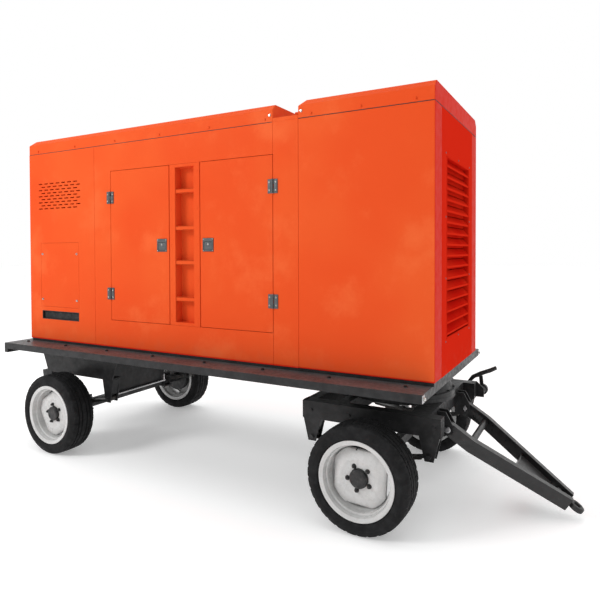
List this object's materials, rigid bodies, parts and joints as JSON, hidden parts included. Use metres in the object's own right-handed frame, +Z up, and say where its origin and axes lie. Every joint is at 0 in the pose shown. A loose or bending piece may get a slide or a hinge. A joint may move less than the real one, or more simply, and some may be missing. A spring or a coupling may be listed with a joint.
{
  "type": "towable diesel generator",
  "caption": "Enclosed diesel generator set on a drawbar trailer with a steering front bogie, opening service doors and a louvred outlet end.",
  "frame": {"origin": "middle of the whole object's footprint, on the ground under the tyres", "axes": "+X towards the drawbar's eye, +Y to the trailer's left, +Z up"},
  "size_m": [4.2992, 1.637, 2.528],
  "materials": {
    "canopy_paint": "glossy orange sheet-metal paint, light orange peel",
    "chassis_paint": "satin black-grey chassis paint",
    "wheel_paint": "off-white painted pressed-steel wheel",
    "tyre": "black rubber, dusty",
    "dark_casting": "dark cast and forged steel",
    "bare_steel": "bright bare steel",
    "spring_steel": "black painted spring leaves",
    "hardware_grey": "dark grey zinc-alloy lock plate",
    "engine_paint": "grey-green engine enamel",
    "alternator_paint": "blue-grey enamel",
    "radiator_black": "black radiator core and frame",
    "fan_plastic": "black moulded plastic",
    "muffler_steel": "heat-dulled steel",
    "battery_case": "black battery case",
    "panel_grey": "light grey powder coat",
    "stop_red": "red push-button plastic"
  },
  "bodies": {
    "chassis": {"rear_spring_right": "spring_steel", "rear_spring_left": "spring_steel", "deck_frame": "chassis_paint", "rear_subframe": "chassis_paint", "turntable_bolster": "chassis_paint", "base_skid": "chassis_paint", "rear_axle": "dark_casting", "brake_cross_shaft": "bare_steel", "side_frame_right": "canopy_paint", "front_side_panel_right": "canopy_paint", "step_column_right": "canopy_paint", "side_frame_left": "canopy_paint", "front_side_panel_left": "canopy_paint", "step_column_left": "canopy_paint", "terminal_cover": "canopy_paint", "front_louvre_panel": "canopy_paint", "rear_end_panel": "canopy_paint", "roof_cover_rear": "canopy_paint", "roof_cover_front": "canopy_paint", "roof_recess": "canopy_paint", "engine": "engine_paint", "alternator": "alternator_paint", "radiator": "radiator_black", "muffler": "muffler_steel", "battery": "battery_case", "air_filter": "fan_plastic", "control_panel": "panel_grey"},
    "bogie": {"bogie_frame": "chassis_paint", "slewing_ring": "dark_casting", "front_axle": "dark_casting", "front_spring_right": "spring_steel", "front_spring_left": "spring_steel"},
    "tow_bar": {"drawbar": "chassis_paint", "tow_eye": "dark_casting", "drawbar_pin_right": "bare_steel", "drawbar_pin_left": "bare_steel"},
    "brake_lever": {"parking_brake_lever": "dark_casting"},
    "cooling_fan": {"fan": "fan_plastic"},
    "panel_door": {"control_door": "canopy_paint"},
    "stop_plunger": {"stop_button": "stop_red"},
    "front_right_wheel_set": {"front_right_tyre": "tyre", "front_right_wheel": "wheel_paint", "front_right_hub": "dark_casting"},
    "front_left_wheel_set": {"front_left_tyre": "tyre", "front_left_wheel": "wheel_paint", "front_left_hub": "dark_casting"},
    "rear_right_wheel_set": {"rear_right_tyre": "tyre", "rear_right_wheel": "wheel_paint", "rear_right_hub": "dark_casting"},
    "rear_left_wheel_set": {"rear_left_tyre": "tyre", "rear_left_wheel": "wheel_paint", "rear_left_hub": "dark_casting"},
    "front_right_door": {"front_door_right": "canopy_paint"},
    "front_left_door": {"front_door_left": "canopy_paint"},
    "rear_right_door": {"rear_door_right": "canopy_paint"},
    "rear_left_door": {"rear_door_left": "canopy_paint"},
    "front_right_lock": {"front_door_lock_right": "hardware_grey"},
    "front_left_lock": {"front_door_lock_left": "hardware_grey"},
    "rear_right_lock": {"rear_door_lock_right": "hardware_grey"},
    "rear_left_lock": {"rear_door_lock_left": "hardware_grey"}
  },
  "joints": [
    {"name": "steering", "type": "hinge", "parent": "chassis", "child": "bogie", "pos_m": [1.0444, 0, 0.628], "axis": [0, 0, 1], "range_deg": [-45, 45]},
    {"name": "drawbar_pitch", "type": "hinge", "parent": "bogie", "child": "tow_bar", "pos_m": [1.4214, 0, 0.505], "axis": [0, -1, 0], "range_deg": [0, 55]},
    {"name": "parking_brake", "type": "hinge", "parent": "bogie", "child": "brake_lever", "pos_m": [1.4614, 0.62, 0.551], "axis": [0, 1, 0], "range_deg": [0, 40]},
    {"name": "front_right_wheel_roll", "type": "hinge", "parent": "bogie", "child": "front_right_wheel_set", "pos_m": [1.0444, -0.716, 0.308], "axis": [0, 1, 0], "continuous": true},
    {"name": "front_left_wheel_roll", "type": "hinge", "parent": "bogie", "child": "front_left_wheel_set", "pos_m": [1.0444, 0.716, 0.308], "axis": [0, 1, 0], "continuous": true},
    {"name": "rear_right_wheel_roll", "type": "hinge", "parent": "chassis", "child": "rear_right_wheel_set", "pos_m": [-1.5456, -0.716, 0.308], "axis": [0, 1, 0], "continuous": true},
    {"name": "rear_left_wheel_roll", "type": "hinge", "parent": "chassis", "child": "rear_left_wheel_set", "pos_m": [-1.5456, 0.716, 0.308], "axis": [0, 1, 0], "continuous": true},
    {"name": "front_right_door_hinge", "type": "hinge", "parent": "chassis", "child": "front_right_door", "pos_m": [0.3744, -0.58, 1.627], "axis": [0, 0, 1], "range_deg": [0, 120]},
    {"name": "front_right_lock_paddle", "type": "hinge", "parent": "front_right_door", "child": "front_right_lock", "pos_m": [-0.1056, -0.576, 1.626], "axis": [0, 0, 1], "range_deg": [0, 35]},
    {"name": "front_left_door_hinge", "type": "hinge", "parent": "chassis", "child": "front_left_door", "pos_m": [0.3744, 0.58, 1.627], "axis": [0, 0, -1], "range_deg": [0, 120]},
    {"name": "front_left_lock_paddle", "type": "hinge", "parent": "front_left_door", "child": "front_left_lock", "pos_m": [-0.1056, 0.576, 1.626], "axis": [0, 0, -1], "range_deg": [0, 35]},
    {"name": "rear_right_door_hinge", "type": "hinge", "parent": "chassis", "child": "rear_right_door", "pos_m": [-1.1006, -0.58, 1.627], "axis": [0, 0, -1], "range_deg": [0, 120]},
    {"name": "rear_right_lock_paddle", "type": "hinge", "parent": "rear_right_door", "child": "rear_right_lock", "pos_m": [-0.6206, -0.576, 1.626], "axis": [0, 0, -1], "range_deg": [0, 35]},
    {"name": "rear_left_door_hinge", "type": "hinge", "parent": "chassis", "child": "rear_left_door", "pos_m": [-1.1006, 0.58, 1.627], "axis": [0, 0, 1], "range_deg": [0, 120]},
    {"name": "rear_left_lock_paddle", "type": "hinge", "parent": "rear_left_door", "child": "rear_left_lock", "pos_m": [-0.6206, 0.576, 1.626], "axis": [0, 0, 1], "range_deg": [0, 35]},
    {"name": "control_door_hinge", "type": "hinge", "parent": "chassis", "child": "panel_door", "pos_m": [-2.0796, 0.2485, 1.953], "axis": [0, 0, -1], "range_deg": [0, 120]},
    {"name": "emergency_stop", "type": "slide", "parent": "chassis", "child": "stop_plunger", "axis": [1, 0, 0], "range_m": [0, 0.006], "stiffness_N_per_m": 900, "springref_m": -0.002},
    {"name": "fan_spin", "type": "hinge", "parent": "chassis", "child": "cooling_fan", "pos_m": [0.3114, 0, 1.403], "axis": [1, 0, 0], "continuous": true}
  ]
}
